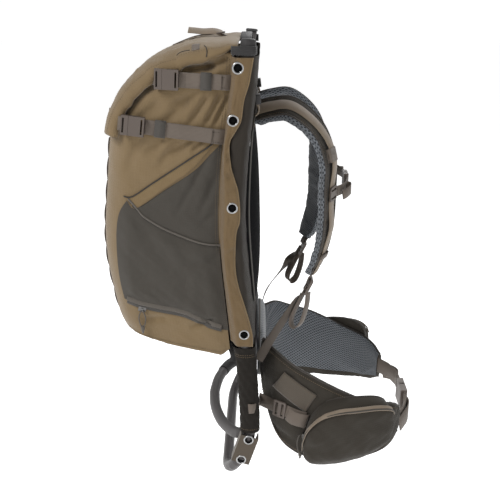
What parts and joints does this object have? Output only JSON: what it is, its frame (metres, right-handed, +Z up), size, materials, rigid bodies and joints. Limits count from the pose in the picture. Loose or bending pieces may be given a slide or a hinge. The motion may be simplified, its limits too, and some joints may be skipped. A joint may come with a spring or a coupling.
{
  "type": "hunting backpack",
  "caption": "Hunting backpack: a cloth bag with a lid on a bent-tube freighter frame, with a folding load shelf, shoulder straps, sternum strap and pocketed hip belt.",
  "frame": {"origin": "centre of the lumbar pad's face, where it meets the wearer", "axes": "+X points forwards out of that face, +Y to the wearer's left, +Z up"},
  "size_m": [0.6068, 0.4222, 0.8679],
  "materials": {
    "frame_tube": "dark grey anodised, satin",
    "end_cap": "matt",
    "bolt": "satin",
    "shelf_tube": "fine textured powder coat",
    "grommet": "polished",
    "stretch_cloth": "matt stretch woven",
    "pack_cloth": "coated ripstop, low sheen",
    "brown_webbing": "matt heavy weave",
    "black_webbing": "matt",
    "back_mesh": "open 3-D mesh",
    "lumbar_mesh": "open 3-D mesh",
    "webbing": "flat polyester webbing",
    "elastic": "matt elastic",
    "zipper_tape": "coated tape",
    "buckle_plastic": "moulded acetal",
    "zip_metal": "dark satin",
    "pull_cord": "braided",
    "harness_cloth": "padded, matt woven face"
  },
  "bodies": {
    "pack": {"side_tubes": "frame_tube", "bottom_tube": "frame_tube", "cross_tubes": "frame_tube", "tube_end_caps": "end_cap", "shelf_bolts": "bolt", "frame_wrap": "stretch_cloth", "tube_sleeves": "stretch_cloth", "lash_tabs": "brown_webbing", "grommets": "grommet", "tube_ties": "black_webbing", "haul_loop": "webbing", "back_panel": "back_mesh", "lumbar_pad": "lumbar_mesh", "lumbar_plate": "black_webbing", "harness_yoke": "brown_webbing", "bag_frame_panel": "pack_cloth", "bag_rear_panel": "pack_cloth", "bag_sides": "pack_cloth", "bag_bottom": "pack_cloth", "bag_flanges": "pack_cloth", "side_pockets": "stretch_cloth", "side_zippers": "zipper_tape", "side_straps": "webbing", "strap_keepers": "elastic", "buckle_sockets": "buckle_plastic", "daisy_chains": "webbing", "lower_webbing": "webbing"},
    "shelf": {"load_shelf": "shelf_tube"},
    "lid": {"lid": "pack_cloth", "lid_strap": "webbing"},
    "shoulder_right": {"shoulder_pad_right": "harness_cloth", "shoulder_webbing_right": "webbing"},
    "shoulder_left": {"shoulder_pad_left": "harness_cloth", "shoulder_webbing_left": "webbing"},
    "sternum_right": {"sternum_strap_right": "webbing", "sternum_socket": "buckle_plastic"},
    "sternum_left": {"sternum_strap_left": "webbing"},
    "belt_right": {"belt_wing_right": "harness_cloth", "belt_pocket_right": "harness_cloth", "belt_webbing_right": "webbing", "belt_socket": "buckle_plastic"},
    "belt_left": {"belt_wing_left": "harness_cloth", "belt_pocket_left": "harness_cloth", "belt_webbing_left": "webbing"},
    "lid_plug_right": {"lid_plug_right": "buckle_plastic"},
    "lid_plug_left": {"lid_plug_left": "buckle_plastic"},
    "side_plug_right": {"side_plug_right": "buckle_plastic"},
    "side_plug_left": {"side_plug_left": "buckle_plastic"},
    "side_zip_slider_right": {"side_zip_slider_right": "zip_metal"},
    "side_zip_slider_left": {"side_zip_slider_left": "zip_metal"},
    "side_zip_pull_right": {"side_zip_pull_right": "pull_cord"},
    "side_zip_pull_left": {"side_zip_pull_left": "pull_cord"},
    "strap_adjuster_right": {"strap_adjuster_right": "buckle_plastic"},
    "strap_adjuster_left": {"strap_adjuster_left": "buckle_plastic"},
    "sternum_plug": {"sternum_plug": "buckle_plastic"},
    "belt_plug": {"belt_plug": "buckle_plastic"},
    "belt_zip_slider_right": {"belt_zip_slider_right": "zip_metal"},
    "belt_zip_slider_left": {"belt_zip_slider_left": "zip_metal"},
    "belt_zip_pull_right": {"belt_zip_pull_right": "pull_cord"},
    "belt_zip_pull_left": {"belt_zip_pull_left": "pull_cord"}
  },
  "joints": [
    {"name": "shelf_fold", "type": "hinge", "parent": "pack", "child": "shelf", "pos_m": [-0.036, 0, -0.14], "axis": [0, 1, 0], "range_deg": [0, 68]},
    {"name": "lid_lift", "type": "hinge", "parent": "pack", "child": "lid", "pos_m": [-0.066, 0, 0.602], "axis": [0, 1, 0], "range_deg": [0, 80]},
    {"name": "lid_plug_release_right", "type": "slide", "parent": "pack", "child": "lid_plug_right", "axis": [-0.9984, 0, 0.0565], "range_m": [0, 0.02]},
    {"name": "side_plug_release_right", "type": "slide", "parent": "pack", "child": "side_plug_right", "axis": [-0.9914, 0, 0.1305], "range_m": [0, 0.02]},
    {"name": "side_zip_slide_right", "type": "slide", "parent": "pack", "child": "side_zip_slider_right", "axis": [0.9673, 0, -0.2536], "range_m": [0, 0.148]},
    {"name": "side_zip_pull_swing_right", "type": "hinge", "parent": "side_zip_slider_right", "child": "side_zip_pull_right", "pos_m": [-0.23033, -0.1707, 0.13746], "axis": [0, 1, 0], "range_deg": [-60, 60]},
    {"name": "shoulder_swing_right", "type": "hinge", "parent": "pack", "child": "shoulder_right", "pos_m": [-0.016, -0.072, 0.485], "axis": [0, 1, 0], "range_deg": [-5, 8], "deforming": ["lower_webbing"]},
    {"name": "adjuster_tilt_right", "type": "hinge", "parent": "shoulder_right", "child": "strap_adjuster_right", "pos_m": [0.084, -0.107, 0.18], "axis": [0, 1, 0], "range_deg": [-15, 40]},
    {"name": "sternum_height_right", "type": "slide", "parent": "shoulder_right", "child": "sternum_right", "axis": [0, 0, 1], "range_m": [-0.03, 0.03]},
    {"name": "belt_swing_right", "type": "hinge", "parent": "pack", "child": "belt_right", "pos_m": [-0.006, -0.106, 0], "axis": [0, 0, -1], "range_deg": [0, 35]},
    {"name": "belt_zip_slide_right", "type": "slide", "parent": "belt_right", "child": "belt_zip_slider_right", "axis": [0, 0, 1], "range_m": [0, 0.06]},
    {"name": "belt_zip_pull_swing_right", "type": "hinge", "parent": "belt_zip_slider_right", "child": "belt_zip_pull_right", "pos_m": [0.0693, -0.179, -0.126], "axis": [0, 1, 0], "range_deg": [0, 28]},
    {"name": "lid_plug_release_left", "type": "slide", "parent": "pack", "child": "lid_plug_left", "axis": [-0.9984, 0, 0.0565], "range_m": [0, 0.02]},
    {"name": "side_plug_release_left", "type": "slide", "parent": "pack", "child": "side_plug_left", "axis": [-0.9914, 0, 0.1305], "range_m": [0, 0.02]},
    {"name": "side_zip_slide_left", "type": "slide", "parent": "pack", "child": "side_zip_slider_left", "axis": [0.9673, 0, -0.2536], "range_m": [0, 0.148]},
    {"name": "side_zip_pull_swing_left", "type": "hinge", "parent": "side_zip_slider_left", "child": "side_zip_pull_left", "pos_m": [-0.23033, 0.1707, 0.13746], "axis": [0, 1, 0], "range_deg": [-60, 60]},
    {"name": "shoulder_swing_left", "type": "hinge", "parent": "pack", "child": "shoulder_left", "pos_m": [-0.016, 0.072, 0.485], "axis": [0, 1, 0], "range_deg": [-5, 8]},
    {"name": "adjuster_tilt_left", "type": "hinge", "parent": "shoulder_left", "child": "strap_adjuster_left", "pos_m": [0.084, 0.107, 0.18], "axis": [0, 1, 0], "range_deg": [-15, 40]},
    {"name": "sternum_height_left", "type": "slide", "parent": "shoulder_left", "child": "sternum_left", "axis": [0, 0, 1], "range_m": [-0.03, 0.03]},
    {"name": "belt_swing_left", "type": "hinge", "parent": "pack", "child": "belt_left", "pos_m": [-0.006, 0.106, 0], "axis": [0, 0, 1], "range_deg": [0, 35]},
    {"name": "belt_zip_slide_left", "type": "slide", "parent": "belt_left", "child": "belt_zip_slider_left", "axis": [0, 0, 1], "range_m": [0, 0.06]},
    {"name": "belt_zip_pull_swing_left", "type": "hinge", "parent": "belt_zip_slider_left", "child": "belt_zip_pull_left", "pos_m": [0.0693, 0.179, -0.126], "axis": [0, 1, 0], "range_deg": [0, 28]},
    {"name": "sternum_release", "type": "slide", "parent": "sternum_left", "child": "sternum_plug", "axis": [0, 1, 0], "range_m": [0, 0.026]},
    {"name": "belt_release", "type": "slide", "parent": "belt_left", "child": "belt_plug", "axis": [0, 1, 0], "range_m": [0, 0.026]}
  ],
  "couplings": [
    {"joint": "shoulder_swing_left", "follows": "shoulder_swing_right", "ratio": 1},
    {"joint": "sternum_height_left", "follows": "sternum_height_right", "ratio": 1}
  ]
}
